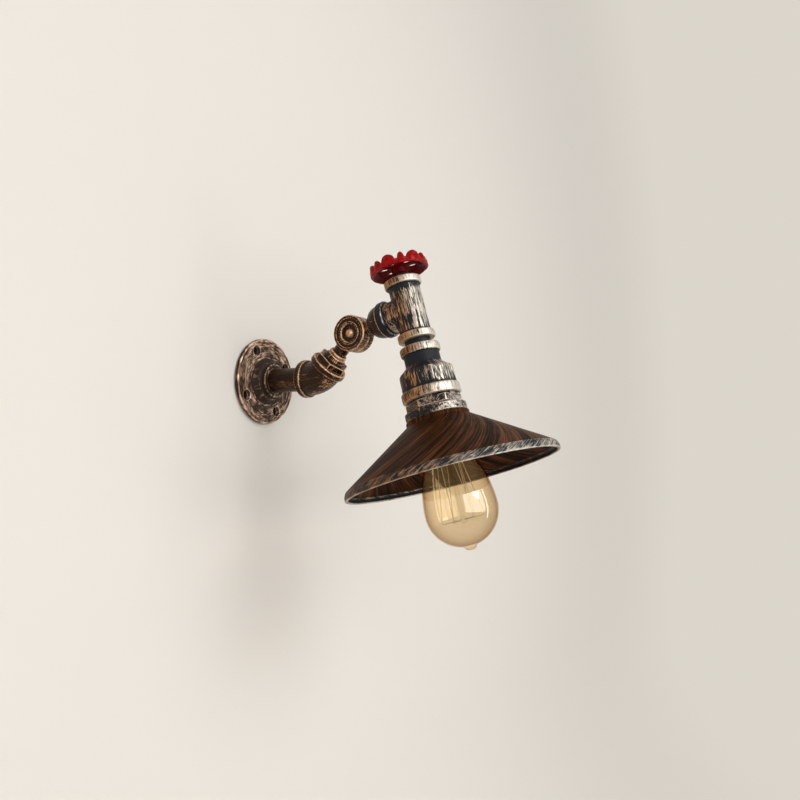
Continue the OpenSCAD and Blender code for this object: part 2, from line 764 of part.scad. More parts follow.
module bulb_stem() color("lightgoldenrodyellow") down_frame() {
    flare_r = glass_neck_r - glass_t - thread_gap;
    flare_top = cap_foot - glass_neck_l;
    turned([
        [0, flare_top], [flare_r, flare_top], [flare_r, flare_top + stem_flare_t],
        [stem_press_d / 2, cap_foot + stem_press_l], [rod_d / 2, cap_foot + stem_press_l + stem_taper_l],
        [rod_d / 2, rod_foot], [0, rod_foot]
    ]);
    translate([0, 0, rod_foot]) sphere(d = rod_button_d);
}

// Ends of the support wires: the lower ring, then the upper ring half a step round from it
function lower_hook(i) = [
    support_reach * cos(360 * i / support_count),
    support_reach * sin(360 * i / support_count), rod_foot
];
function upper_hook(i) = [
    upper_wire_reach * cos(360 * (i + 0.5) / support_count),
    upper_wire_reach * sin(360 * (i + 0.5) / support_count), upper_support
];

module bulb_supports() color("silver") down_frame() difference() {
    for (i = [0:support_count - 1]) {
        translate([0, 0, rod_foot]) rotate(360 * i / support_count) rotate([0, 90, 0])
            rod(support_d / 2, 0, support_reach - filament_d);
        translate([0, 0, upper_support]) rotate(360 * (i + 0.5) / support_count) rotate([0, 90, 0])
            rod(support_d / 2, 0, upper_wire_reach - filament_d);
    }
    rod(rod_d / 2 + thread_gap, cap_foot, rod_foot);
    translate([0, 0, rod_foot]) sphere(d = rod_button_d + 2 * thread_gap);
}

// A tube of six sides along a list of points, with flat ends square to their stretches
function unit(v) = v / norm(v);
function heading(p, i) = unit(
    (i > 0 ? unit(p[i] - p[i - 1]) : [0, 0, 0]) + (i < len(p) - 1 ? unit(p[i + 1] - p[i]) : [0, 0, 0])
);
module tube(path, r, sides = 6) {
    count = len(path);
    rings = [for (i = [0:count - 1])
        let (
            way = heading(path, i),
            out = unit([path[i].x, path[i].y, 0]),
            across = unit(cross(way, out)),
            up = cross(across, way)
        )
        for (k = [0:sides - 1]) path[i] + r * (cos(360 * k / sides) * across + sin(360 * k / sides) * up)
    ];
    skin = [for (i = [0:count - 2], k = [0:sides - 1])
        let (next = (k + 1) % sides, a = i * sides, b = a + sides)
        each [[a + k, a + next, b + next], [a + k, b + next, b + k]]
    ];
    ends = [for (k = [1:sides - 2])
        let (last = (count - 1) * sides)
        each [[0, k + 1, k], [last, last + k, last + k + 1]]
    ];
    polyhedron(rings, concat(skin, ends));
}

// The filament runs from hook to hook as one wire: down, round the lower hook and up again
module bulb_filament() color("orange") down_frame() {
    bend = filament_d * 1.2;
    path = [for (i = [0:support_count - 2])
        let (low = lower_hook(i), high = upper_hook(i))
        each [low - [0, 0, bend], low, high + [0, 0, bend], high]
    ];
    tube(path, filament_d / 2);
}

module switch_spindle() color("silver") up_frame()
    rod(spindle_d / 2, switch_top - switch_l / 2 + moving_gap, wheel_hub_top);

// A boss with a rounded top
module boss(r, from, to, round) turned(concat(
    [[0, from], [r, from]],
    [for (i = [0:3]) [r - round + round * cos(30 * i), to - round + round * sin(30 * i)]],
    [[0, to]]
));

module handwheel() color("firebrick") up_frame() difference() {
    outer_r = wheel_d / 2 - wheel_scallop;
    inner_r = outer_r - wheel_rim_w;
    lobe_ring_r = wheel_d / 2 - wheel_lobe_d / 2;
    step = 360 / wheel_lobes;
    rim_top = wheel_rim_z + wheel_rim_h;
    rim_under = rim_top - wheel_rim_t;
    web_top = rim_top - 2 * bevel;
    web_root = bevel;
    union() {
        translate([0, 0, wheel_rim_z]) turned([
            [outer_r - wheel_edge_w, 0], [outer_r, 0], [outer_r, wheel_edge_h],
            [outer_r - wheel_lean + bevel, wheel_rim_h - bevel], [outer_r - wheel_lean, wheel_rim_h],
            [inner_r, wheel_rim_h], [inner_r, wheel_rim_h - wheel_rim_t]
        ]);
        for (i = [0:wheel_lobes - 1]) rotate(wheel_angle + step * i) {
            translate([lobe_ring_r, 0, 0])
                boss(wheel_lobe_d / 2, rim_under + bevel, rim_top + wheel_lobe_rise, wheel_lobe_round);
            rotate(step / 2) translate([lobe_ring_r, 0, 0])
                boss(wheel_nub_d / 2, rim_under + 2 * bevel, rim_top + wheel_nub_rise, wheel_nub_round);
        }
        rod(inner_r + web_root, web_top - wheel_web_t, web_top);
        band(wheel_hub_d / 2, wheel_foot, wheel_hub_top);
    }
    for (i = [0:wheel_lobes - 1]) rotate(wheel_angle + step * i) translate([wheel_hole_pcd / 2, 0, 0])
        rod(wheel_hole_d / 2, wheel_foot, rim_top);
    rod(spindle_d / 2 + thread_gap, wheel_foot - 1, wheel_hub_top + 1);
}

module wheel_nut() color("firebrick") up_frame() {
    dome_z = wheel_hub_top + wheel_nut_h - bevel;
    hex(wheel_nut_d, wheel_hub_top, wheel_hub_top + wheel_nut_h);
    intersection() {
        translate([0, 0, dome_z]) sphere(r = wheel_nut_d / 2 * cos(30) - bevel / 2);
        rod(wheel_nut_d, dome_z, dome_z + wheel_nut_d);
    }
}

wall_flange();
wall_nipple();
elbow_45();
elbow_bushing();
swivel_lower();
friction_washer();
pivot_screw();
pivot_nut();
swivel_upper();
branch_bushing();
tee();
top_plug();
switch_body();
switch_nut();
switch_leads();
head_nipple();
reducer();
hex_bushing();
lock_ring();
shade();
shade_ring();
lampholder_body();
lampholder_shell();
lampholder_contact();
bulb_cap();
bulb_insulator();
bulb_contact();
bulb_glass();
bulb_stem();
bulb_supports();
bulb_filament();
switch_spindle();
handwheel();
wheel_nut();
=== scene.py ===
"""Looks of the pipe-fitting wall lamp: its finishes, finer meshes, stage, camera and lights."""

import json
import math

import bmesh
import bpy
import numpy as np
from mathutils import Matrix, Vector


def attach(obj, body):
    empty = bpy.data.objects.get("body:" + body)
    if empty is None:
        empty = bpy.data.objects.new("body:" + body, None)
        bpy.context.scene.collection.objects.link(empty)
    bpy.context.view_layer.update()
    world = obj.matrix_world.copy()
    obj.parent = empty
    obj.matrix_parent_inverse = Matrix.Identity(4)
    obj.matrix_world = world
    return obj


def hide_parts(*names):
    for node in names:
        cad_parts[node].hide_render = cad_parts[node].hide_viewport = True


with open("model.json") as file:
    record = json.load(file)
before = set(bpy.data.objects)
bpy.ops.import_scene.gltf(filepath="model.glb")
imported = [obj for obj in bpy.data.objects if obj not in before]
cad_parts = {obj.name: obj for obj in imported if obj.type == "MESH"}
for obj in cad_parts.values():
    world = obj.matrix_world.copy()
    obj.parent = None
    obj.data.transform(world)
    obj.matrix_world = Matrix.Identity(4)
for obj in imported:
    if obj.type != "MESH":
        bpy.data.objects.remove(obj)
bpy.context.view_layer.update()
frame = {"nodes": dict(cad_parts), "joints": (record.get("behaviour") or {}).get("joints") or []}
nodes = frame["nodes"]
scene = bpy.context.scene

# Blender works in metres, and the sizes below are in millimetres unless they say otherwise
MM = 0.001

# Middles of the fittings in metres. The joints sit in the swivel and the tee. The elbow is as high as the
# wall pipe, and the arm goes up from there to the swivel at 45 degrees.
joint_places = {joint["name"]: Vector(joint["pos_m"]) for joint in frame["joints"]}
SWIVEL = joint_places["swivel_tilt"]
TEE = joint_places["wheel_turn"]
ELBOW = Vector((0.0, SWIVEL.y + SWIVEL.z, 0.0))
ELBOW_ANGLE = 45.0

# How far the arm rises between the swivel and the tee, in degrees
ARM_PITCH = 16.0


def home(centre, axis, degrees):
    """A fitting's own frame: its z runs along the fitting."""
    return Matrix.Translation(centre) @ Matrix.Rotation(math.radians(degrees), 4, axis)


WALL = home((0, 0, 0), "X", 90)
EXIT = home(ELBOW, "X", 90 - ELBOW_ANGLE)
CROSS = home(SWIVEL, "Y", 90)
BRANCH = home(TEE, "X", -90 - ARM_PITCH)
UP = home(TEE, "X", -ARM_PITCH)
DOWN = home(TEE, "X", 180 - ARM_PITCH)


# Meshes

# Vertices nearer than this are one
WELD_DISTANCE = 0.002

# The most of a side that the arc at a corner may take
CORNER_SHARE = 0.45


def add_object(name, mesh):
    piece = bpy.data.objects.new(name, mesh)
    scene.collection.objects.link(piece)
    return piece


def shade_smooth(mesh):
    mesh.polygons.foreach_set("use_smooth", np.ones(len(mesh.polygons), bool))
    mesh.update()


def with_modifiers(piece):
    """A new mesh: the piece's own with its modifiers applied."""
    depsgraph = bpy.context.evaluated_depsgraph_get()
    return bpy.data.meshes.new_from_object(piece.evaluated_get(depsgraph))


def skin_mesh(node, cell, rounds):
    """A smooth cast skin round a CAD node: remeshed to even cells, then smoothed to round its edges."""
    source = add_object("skin_source", nodes[node].data.copy())
    weld = bmesh.new()
    weld.from_mesh(source.data)
    bmesh.ops.remove_doubles(weld, verts=weld.verts, dist=WELD_DISTANCE * MM)
    weld.to_mesh(source.data)
    weld.free()
    remesh = source.modifiers.new("cells", "REMESH")
    remesh.mode = "VOXEL"
    remesh.voxel_size = cell * MM
    smooth = source.modifiers.new("rounding", "SMOOTH")
    smooth.factor = 0.5
    smooth.iterations = rounds
    mesh = with_modifiers(source)
    bpy.data.objects.remove(source)
    shade_smooth(mesh)
    return mesh


def rounded(outline, radius, steps=4):
    """A closed outline of (radius, height) points with each corner turned into a small arc."""
    points = [Vector(p) for p in outline]
    result = []
    for i, corner in enumerate(points):
        before = points[i - 1] - corner
        behind = points[(i + 1) % len(points)] - corner
        reach = min(radius, CORNER_SHARE * before.length, CORNER_SHARE * behind.length)
        start = corner + before.normalized() * reach
        end = corner + behind.normalized() * reach
        for k in range(steps + 1):
            t = k / steps
            result.append(start * (1 - t) ** 2 + corner * 2 * t * (1 - t) + end * t ** 2)
    return result


def divided(outline, longest):
    """The closed outline with long stretches cut into shorter ones."""
    result = []
    for i, point in enumerate(outline):
        following = outline[(i + 1) % len(outline)]
        count = max(1, math.ceil((following - point).length / longest))
        result += [point.lerp(following, k / count) for k in range(count)]
    return result


def outward_mesh(name, vertices, faces):
    """A smooth mesh whose faces all look outward."""
    mesh = bpy.data.meshes.new(name)
    mesh.from_pydata(vertices, [], faces)
    flip = bmesh.new()
    flip.from_mesh(mesh)
    bmesh.ops.recalc_face_normals(flip, faces=flip.faces)
    flip.to_mesh(mesh)
    flip.free()
    shade_smooth(mesh)
    return mesh


def ring_mesh(name, sections, place):
    """A closed ring through sections that stand evenly round a fitting's z. Each section is a closed outline
    of (radius, height) points that keeps off the axis, and all have the same count."""
    steps = len(sections)
    count = len(sections[0])
    vertices = []
    faces = []
    for k, section in enumerate(sections):
        turn = 2 * math.pi * k / steps
        here = k * count
        beyond = (k + 1) % steps * count
        for i, (radius, height) in enumerate(section):
            local = Vector((radius * math.cos(turn), radius * math.sin(turn), height)) * MM
            vertices.append(place @ local)
            j = (i + 1) % count
            faces.append((here + i, beyond + i, beyond + j, here + j))
    return outward_mesh(name, vertices, faces)


def lathe_mesh(name, outline, place, segments):
    """A turned solid from one closed outline of (radius, height) points."""
    return ring_mesh(name, [outline] * segments, place)


# Values stored on the meshes for the materials

# The side that the painted light comes from: faces turned this way get more bright metal and the painted
# light copies of the metal's tones, and faces turned away get the painted shade copies
PAINTED_LIGHT_SIDE = Vector((0.32, -0.95, 0.0))


def vertex_arrays(mesh):
    """The vertices' places and normals, and the pairs of vertices that edges join."""
    count = len(mesh.vertices)
    places = np.zeros(count * 3)
    normals = np.zeros(count * 3)
    mesh.vertices.foreach_get("co", places)
    mesh.vertices.foreach_get("normal", normals)
    edges = np.zeros(len(mesh.edges) * 2, int)
    mesh.edges.foreach_get("vertices", edges)
    return places.reshape(-1, 3) / MM, normals.reshape(-1, 3), edges.reshape(-1, 2)


def local_places(mesh, place):
    """The vertices' places in a fitting's own frame."""
    places, _, _ = vertex_arrays(mesh)
    turn = np.array(place.inverted())
    return places @ turn[:3, :3].T + turn[:3, 3] / MM


def store(mesh, name, kind, values):
    attribute = mesh.attributes.new(name, kind, "POINT")
    field = "vector" if kind == "FLOAT_VECTOR" else "value"
    attribute.data.foreach_set(field, values.astype(np.float32).ravel())


def neighbour_mean(values, edges):
    """Each vertex's value averaged with those of its neighbours."""
    total = values.copy()
    np.add.at(total, edges[:, 0], values[edges[:, 1]])
    np.add.at(total, edges[:, 1], values[edges[:, 0]])
    return total / (1 + np.bincount(edges.ravel(), minlength=len(values)))


def store_wear_and_painted_light(mesh, blur=3):
    """How much each point stands proud, as its curvature, and how much it faces the side of the painted
    light.
    """
    places, normals, edges = vertex_arrays(mesh)
    step = places[edges[:, 1]] - places[edges[:, 0]]
    length_squared = (step ** 2).sum(1) + 1e-9
    bend = np.zeros(len(places))
    np.add.at(bend, edges[:, 0], -2 * (normals[edges[:, 0]] * step).sum(1) / length_squared)
    np.add.at(bend, edges[:, 1], 2 * (normals[edges[:, 1]] * step).sum(1) / length_squared)
    bend /= np.maximum(np.bincount(edges.ravel(), minlength=len(places)), 1)
    for _ in range(blur):
        bend = neighbour_mean(bend, edges)
    store(mesh, "wear", "FLOAT", bend)
    # Painted light and shade: how much each point faces the side that the light is painted from
    store(mesh, "lit", "FLOAT", normals @ np.array(PAINTED_LIGHT_SIDE))


def store_cover(mesh, zones):
    """How much more metal than usual the brush left: for each frame, amounts at heights along its z."""
    extra = np.zeros(len(mesh.vertices))
    for place, steps in zones:
        heights, amounts = zip(*steps)
        extra += np.interp(local_places(mesh, place)[:, 2], heights, amounts)
    store(mesh, "cover", "FLOAT", extra)


# Ways of brushing. From places in a fitting's frame, each works out where the brush marks' noise is read.
# Marks are long where the noise is read slowly.

SLOW = 0.09
ACROSS_SPEED = 0.9
RING_SPEED = 4
STAVE_SPEED = 19


def straight(speed):
    """Marks that run straight down the fitting, where the noise is read at the given speed."""
    def marks(local):
        return local * np.array((ACROSS_SPEED, ACROSS_SPEED, speed))
    return marks


def polar(local):
    """Each place's distance from the fitting's axis, and its direction from there."""
    radius = np.maximum(np.hypot(local[:, 0], local[:, 1]), 1.0)
    return radius, local[:, :2] / radius[:, None]


def rings(local):
    """Marks that run round the fitting's axis."""
    radius, direction = polar(local)
    return np.stack([0.7 * radius + 0.3 * local[:, 2], *(RING_SPEED * direction.T)], 1)


def staves(local):
    """Marks that run down the fitting and on across its shoulders."""
    radius, direction = polar(local)
    return np.stack([*(STAVE_SPEED * direction.T), SLOW * (local[:, 2] - radius)], 1)


def store_brush(mesh, place, brushing):
    store(mesh, "brush", "FLOAT_VECTOR", brushing(local_places(mesh, place)))


# Materials

WHITE = (1.0, 1.0, 1.0, 1.0)
COAT_ROUGHNESS = 0.08


class Paint:
    """The shader nodes of a material or of the world, being put together."""

    def __init__(self, owner, output="ShaderNodeOutputMaterial"):
        self.owner = owner
        owner.use_nodes = True
        self.tree = owner.node_tree
        self.tree.nodes.clear()
        self.output = self.add(output)

    def add(self, kind, **settings):
        node = self.tree.nodes.new(kind)
        for key, value in settings.items():
            setattr(node, key, value)
        return node

    def link(self, source, target):
        if hasattr(source, "is_output"):
            self.tree.links.new(source, target)
        else:
            target.default_value = source

    def spot(self):
        """The place on the object, in metres."""
        return self.add("ShaderNodeTexCoord").outputs["Object"]

    def stored(self, name):
        """A number stored on the mesh."""
        return self.add("ShaderNodeAttribute", attribute_name=name).outputs["Fac"]

    def brush(self):
        """The place at which the brush marks are read."""
        return self.add("ShaderNodeAttribute", attribute_name="brush").outputs["Vector"]

    def noise(self, place, scale, detail, roughness):
        node = self.add("ShaderNodeTexNoise")
        self.link(place, node.inputs["Vector"])
        node.inputs["Scale"].default_value = scale
        node.inputs["Detail"].default_value = detail
        node.inputs["Roughness"].default_value = roughness
        return node.outputs["Fac"]

    def math(self, operation, a, b):
        node = self.add("ShaderNodeMath", operation=operation)
        self.link(a, node.inputs[0])
        self.link(b, node.inputs[1])
        return node.outputs[0]

    def times(self, value, factor):
        return self.math("MULTIPLY", value, factor)

    def total(self, first, *others):
        for other in others:
            first = self.math("ADD", first, other)
        return first

    def swing(self, value, size):
        """A value from 0 to 1 turned into one to either side of nought."""
        return self.times(self.math("SUBTRACT", value, 0.5), size)

    def span(self, value, low, high, first=0.0, last=1.0):
        """A smooth step from first to last as the value goes from low to high."""
        node = self.add("ShaderNodeMapRange", interpolation_type="SMOOTHSTEP")
        self.link(value, node.inputs["Value"])
        node.inputs["From Min"].default_value = low
        node.inputs["From Max"].default_value = high
        node.inputs["To Min"].default_value = first
        node.inputs["To Max"].default_value = last
        return node.outputs["Result"]

    def mix(self, share, a, b):
        """A colour between two others."""
        node = self.add("ShaderNodeMix", data_type="RGBA")
        self.link(share, node.inputs["Factor"])
        self.link(a, node.inputs["A"])
        self.link(b, node.inputs["B"])
        return node.outputs["Result"]

    def blend(self, share, a, b):
        """A shader between two others."""
        node = self.add("ShaderNodeMixShader")
        self.link(share, node.inputs["Fac"])
        self.link(a, node.inputs[1])
        self.link(b, node.inputs[2])
        return node.outputs["Shader"]

    def bump(self, height, strength, distance):
        node = self.add("ShaderNodeBump")
        self.link(height, node.inputs["Height"])
        node.inputs["Strength"].default_value = strength
        node.inputs["Distance"].default_value = distance
        return node.outputs["Normal"]

    def finished(self, shader):
        self.link(shader, self.output.inputs["Surface"])
        return self.owner

    def surface(self, color, roughness, metallic, normal=None, coat=0.0, specular=0.2, gloss=WHITE):
        node = self.add("ShaderNodeBsdfPrincipled")
        self.link(color, node.inputs["Base Color"])
        self.link(roughness, node.inputs["Roughness"])
        self.link(metallic, node.inputs["Metallic"])
        node.inputs["Specular IOR Level"].default_value = specular
        node.inputs["Specular Tint"].default_value = gloss
        node.inputs["Coat Weight"].default_value = coat
        node.inputs["Coat Roughness"].default_value = COAT_ROUGHNESS
        if normal is not None:
            self.link(normal, node.inputs["Normal"])
        return self.finished(node.outputs["BSDF"])


def rgb(red, green, blue):
    """A colour given as it is seen on a screen, 0 to 255."""
    def linear(value):
        value /= 255
        return value / 12.92 if value <= 0.04045 else ((value + 0.055) / 1.055) ** 2.4
    return (linear(red), linear(green), linear(blue), 1.0)


def dry_brushed(
    name, ground, metal, cover, edge_cover, lit_cover, fine, soft, dull=0.48, specular=0.2, gloss=WHITE
):
    """Dark paint with metal dragged over it by a dry brush: more on edges, none in corners, more on the lit
    side as painted light. The metal's middle and bright tones are pairs of colours: a painted shade copy for
    the shadow side, and a painted light copy for the lit side. Fine marks are narrower, soft ones fade into
    the paint, and dull is the roughness of the bare paint."""
    paint = Paint(bpy.data.materials.new(name))
    middle_tones, bright_tones = metal
    brush = paint.brush()
    strokes = paint.noise(brush, scale=0.42 * fine, detail=3.0, roughness=0.55)
    scratches = paint.noise(brush, scale=1.25 * fine, detail=4.0, roughness=0.65)
    patches = paint.noise(paint.spot(), scale=90.0, detail=2.0, roughness=0.5)
    wear = paint.stored("wear")
    # Painted light and shade: how much the point faces the side that the light is painted from
    lit = paint.span(paint.stored("lit"), low=-0.5, high=0.65)
    edge = paint.span(wear, low=0.10, high=0.55)
    corner = paint.span(wear, low=-0.35, high=-0.06, first=1.0, last=0.0)
    # The lit side gets more metal, as painted light
    amount = paint.total(
        paint.swing(strokes, 1.5), paint.swing(patches, 0.9), paint.swing(lit, lit_cover),
        paint.times(edge, edge_cover), paint.times(corner, -0.8), paint.stored("cover"), cover,
    )
    middle_amount = paint.total(amount, paint.swing(scratches, 1.6))
    bright_amount = paint.total(amount, paint.swing(scratches, 3.0))
    middle_share = paint.span(middle_amount, low=0.03 - soft, high=0.25 + soft)
    bright_share = paint.span(bright_amount, low=0.33, high=0.51 + 2 * soft)
    # The metal's tones go from their painted shade copy to their painted light copy as the point turns to
    # the lit side
    color = paint.mix(middle_share, ground, paint.mix(lit, *middle_tones))
    color = paint.mix(bright_share, color, paint.mix(lit, *bright_tones))
    roughness = paint.span(bright_share, low=0.0, high=1.0, first=dull, last=0.34)
    metallic = paint.total(paint.times(middle_share, 0.3), paint.times(bright_share, 0.3))
    normal = paint.bump(paint.total(strokes, scratches), strength=0.5, distance=0.0004)
    return paint.surface(color, roughness, metallic, normal, specular=specular, gloss=gloss)


def swirled(name):
    """The shade's dark brown paint with swinging copper-brown brush marks."""
    paint = Paint(bpy.data.materials.new(name))
    brush = paint.brush()
    fine = paint.noise(brush, scale=5.5, detail=5.0, roughness=0.7)
    broad = paint.noise(brush, scale=0.6, detail=3.0, roughness=0.5)
    amount = paint.total(paint.times(fine, 0.9), paint.times(broad, 0.45))
    metal = paint.span(amount, low=0.60, high=0.90)
    color = paint.mix(metal, rgb(17, 9, 4), rgb(120, 69, 33))
    roughness = paint.span(metal, low=0.0, high=1.0, first=0.5, last=0.4)
    normal = paint.bump(fine, strength=0.2, distance=0.0003)
    return paint.surface(color, roughness, paint.times(metal, 0.4), normal, specular=0.03)


def plain(name, color, roughness, metallic=0.0, coat=0.0, specular=0.2, grain=400.0, darkening=0.16):
    """A plain finish with a faint grain, whose dark flecks lose a share of the colour."""
    paint = Paint(bpy.data.materials.new(name))
    fleck = paint.noise(paint.spot(), scale=grain, detail=3.0, roughness=0.6)
    darker = tuple(c * (1 - darkening) for c in color[:3]) + (1.0,)
    grained = paint.mix(paint.span(fleck, low=0.3, high=0.7), darker, color)
    return paint.surface(grained, roughness, metallic, coat=coat, specular=specular)


GLASS_INDEX = 1.45
MIRROR_COLOR = (1.0, 0.93, 0.81, 1.0)
MIRROR_ROUGHNESS = 0.015

# How much of a glass wall's own mirroring is kept, since the wall is thin
MIRROR_SHARE = 0.22


def clear_glass(name, middle, rim, gloss):
    """Thin clear glass: what lies behind shows through its tint, which is deeper where the wall is seen edge
    on, and lights are mirrored in its outside, a little more where it is seen edge on."""
    paint = Paint(bpy.data.materials.new(name))
    cloud = paint.noise(paint.spot(), scale=30.0, detail=2.0, roughness=0.5)
    cloud = paint.span(cloud, low=0.35, high=0.65, first=0.9, last=1.0)
    slant = paint.add("ShaderNodeLayerWeight")
    slant.inputs["Blend"].default_value = 0.35
    edge_on = paint.math("POWER", slant.outputs["Facing"], 2.2)
    through = paint.add("ShaderNodeBsdfTransparent")
    paint.link(paint.mix(paint.times(edge_on, cloud), middle, rim), through.inputs["Color"])
    mirror = paint.add("ShaderNodeBsdfGlossy")
    mirror.inputs["Color"].default_value = MIRROR_COLOR
    mirror.inputs["Roughness"].default_value = MIRROR_ROUGHNESS
    angle = paint.add("ShaderNodeFresnel")
    angle.inputs["IOR"].default_value = GLASS_INDEX
    share = paint.total(paint.times(angle.outputs["Fac"], MIRROR_SHARE), gloss)
    inside = paint.add("ShaderNodeNewGeometry").outputs["Backfacing"]
    share = paint.times(share, paint.math("SUBTRACT", 1.0, inside))
    return paint.finished(paint.blend(share, through.outputs["BSDF"], mirror.outputs["BSDF"]))


# Brushed metals: their middle tones and their bright tones, each as a pair: a painted shade copy for the
# shadow side and a painted light copy for the lit side
SILVER = ((rgb(112, 76, 46), rgb(138, 131, 121)), (rgb(176, 126, 82), rgb(212, 203, 190)))
BRONZE = ((rgb(100, 60, 36), rgb(124, 80, 50)), (rgb(200, 148, 110), rgb(234, 196, 160)))
ROSE = ((rgb(132, 96, 74), rgb(156, 124, 102)), (rgb(204, 168, 140), rgb(232, 206, 182)))
CHARCOAL = rgb(20, 22, 27)

# Bronze paint is shinier than the others, and its shine is warm
BRONZE_SHINE = {"specular": 0.28, "gloss": (1.0, 0.70, 0.48, 1.0)}
RED_PAINT = {"specular": 0.03, "grain": 260.0, "darkening": 0.2}

finishes = {}


def add_finish(name, make, *values, **settings):
    finishes[name] = make(name, *values, **settings)


add_finish(
    "flange_cast", dry_brushed, rgb(44, 30, 22), ROSE,
    cover=0.05, edge_cover=0.45, lit_cover=0.1, fine=1.25, soft=0.08,
)
add_finish(
    "bronze_pipe", dry_brushed, rgb(25, 13, 8), BRONZE,
    cover=-0.04, edge_cover=0.9, lit_cover=0.25, fine=1.5, soft=0.06, dull=0.3, **BRONZE_SHINE,
)
add_finish(
    "bronze_swivel", dry_brushed, rgb(24, 13, 8), BRONZE,
    cover=-0.10, edge_cover=1.0, lit_cover=0.35, fine=1.4, soft=0.02, dull=0.24, **BRONZE_SHINE,
)
add_finish(
    "tee_cast", dry_brushed, CHARCOAL, SILVER,
    cover=0.06, edge_cover=0.4, lit_cover=0.2, fine=1.4, soft=-0.04,
)
add_finish(
    "silver_rings", dry_brushed, CHARCOAL, SILVER,
    cover=0.02, edge_cover=0.4, lit_cover=0.3, fine=1.35, soft=-0.04,
)
add_finish(
    "shade_lip", dry_brushed, rgb(20, 22, 28), SILVER,
    cover=0.05, edge_cover=0.4, lit_cover=0.1, fine=7.5, soft=-0.06,
)
add_finish("shade_paint", swirled)
add_finish("black_pipe", plain, rgb(28, 30, 35), roughness=0.45, metallic=0.2)
add_finish("dark_steel", plain, rgb(70, 62, 56), roughness=0.35, metallic=0.8)
add_finish("washer_fibre", plain, rgb(40, 36, 34), roughness=0.8)
add_finish("black_plastic", plain, rgb(22, 22, 23), roughness=0.4)
add_finish("lead_plastic", plain, rgb(120, 30, 26), roughness=0.45)
add_finish("contact_brass", plain, rgb(196, 160, 92), roughness=0.3, metallic=0.9)
add_finish("wire_steel", plain, rgb(222, 212, 196), roughness=0.35, metallic=0.4)
add_finish("filament_wire", plain, rgb(252, 230, 198), roughness=0.5)
add_finish("spindle_steel", plain, rgb(170, 166, 160), roughness=0.3, metallic=0.9)
add_finish("wheel_red", plain, rgb(154, 0, 2), roughness=0.24, coat=0.2, **RED_PAINT)
# A darker red for the web and the rim's underside: painted shade
add_finish("web_red", plain, rgb(102, 0, 2), roughness=0.4, coat=0.05, **RED_PAINT)
add_finish("amber_glass", clear_glass, (0.97, 0.91, 0.80, 1.0), (0.46, 0.26, 0.07, 1.0), gloss=0.11)
add_finish("amber_pip", clear_glass, (0.93, 0.80, 0.56, 1.0), (0.42, 0.24, 0.08, 1.0), gloss=0.15)
add_finish("stem_glass", clear_glass, (0.97, 0.95, 0.90, 1.0), (0.7, 0.66, 0.6, 1.0), gloss=0.03)


def dress(piece, body, node, slot, second=None):
    """The piece moves with the body, stands for the node and takes the slot's finish, and maybe a second."""
    piece.data.materials.clear()
    piece.data.materials.append(finishes[slot])
    if second:
        piece.data.materials.append(finishes[second])
    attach(piece, body)
    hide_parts(node)


def finish_faces(mesh, place, chosen):
    """The second finish goes on the faces chosen by their radius and height in a fitting's frame."""
    local = local_places(mesh, place)
    for polygon in mesh.polygons:
        x, y, height = local[list(polygon.vertices)].mean(0)
        polygon.material_index = int(chosen(math.hypot(x, y), height))


# The cast and turned fittings

long_marks = straight(SLOW)
short_marks = straight(0.22)
even_marks = straight(0.7)

# Where the brush left more metal, or less: amounts at heights in the frames given
cover_zones = {
    "wall_flange": [(WALL, [(4.8, 0.0), (5.8, -0.2)])],
    "pivot_screw": [(CROSS, [(0, 0.5)])],
    "tee": [
        (UP, [(-20.8, 0.34), (-20, -0.1), (-16, 0.14), (14, 0.12), (17, -0.3), (20, -0.4), (20.8, 0.34)]),
        (BRANCH, [(12, 0.0), (14, 0.1), (19, 0.1), (20.2, -0.9)]),
    ],
    "reducer": [
        (DOWN, [
            (38.2, 0.30), (39.2, -0.7), (45, -0.7), (49, 0.06), (65, 0.06), (67.6, -0.2), (68.4, 0.36),
        ]),
    ],
    "hex_bushing": [(DOWN, [(0, 0.1)])],
}

# Node, body, slot, frame, cell size, rounds of smoothing, way of brushing
castings = [
    ("wall_flange", "wall_arm", "flange_cast", WALL, 0.42, 5, rings),
    ("wall_nipple", "wall_arm", "bronze_pipe", WALL, 0.45, 3, staves),
    ("elbow_45", "wall_arm", "bronze_pipe", WALL, 0.45, 6, long_marks),
    ("elbow_bushing", "wall_arm", "bronze_swivel", EXIT, 0.36, 4, staves),
    ("swivel_lower", "wall_arm", "bronze_swivel", CROSS, 0.3, 12, short_marks),
    ("swivel_upper", "lamp_head", "bronze_swivel", CROSS, 0.3, 12, short_marks),
    ("branch_bushing", "lamp_head", "bronze_swivel", BRANCH, 0.36, 5, staves),
    ("tee", "lamp_head", "tee_cast", UP, 0.45, 7, long_marks),
    ("top_plug", "lamp_head", "black_pipe", UP, 0.36, 3, long_marks),
    ("head_nipple", "lamp_head", "black_pipe", DOWN, 0.45, 3, long_marks),
    ("reducer", "lamp_head", "tee_cast", DOWN, 0.45, 18, staves),
    ("hex_bushing", "lamp_head", "silver_rings", DOWN, 0.4, 2, even_marks),
    ("lock_ring", "lamp_head", "silver_rings", DOWN, 0.4, 4, even_marks),
    ("pivot_screw", "wall_arm", "bronze_swivel", CROSS, 0.22, 3, short_marks),
]
for node, body, slot, place, cell, rounds, brushing in castings:
    mesh = skin_mesh(node, cell, rounds)
    store_wear_and_painted_light(mesh)
    store_brush(mesh, place, brushing)
    store_cover(mesh, cover_zones.get(node, []))
    dress(add_object(node + "_cast", mesh), body, node, slot)


# The handwheel: a crown of six arched lobes and six narrow nubs on a leaning rim, and a web with six holes

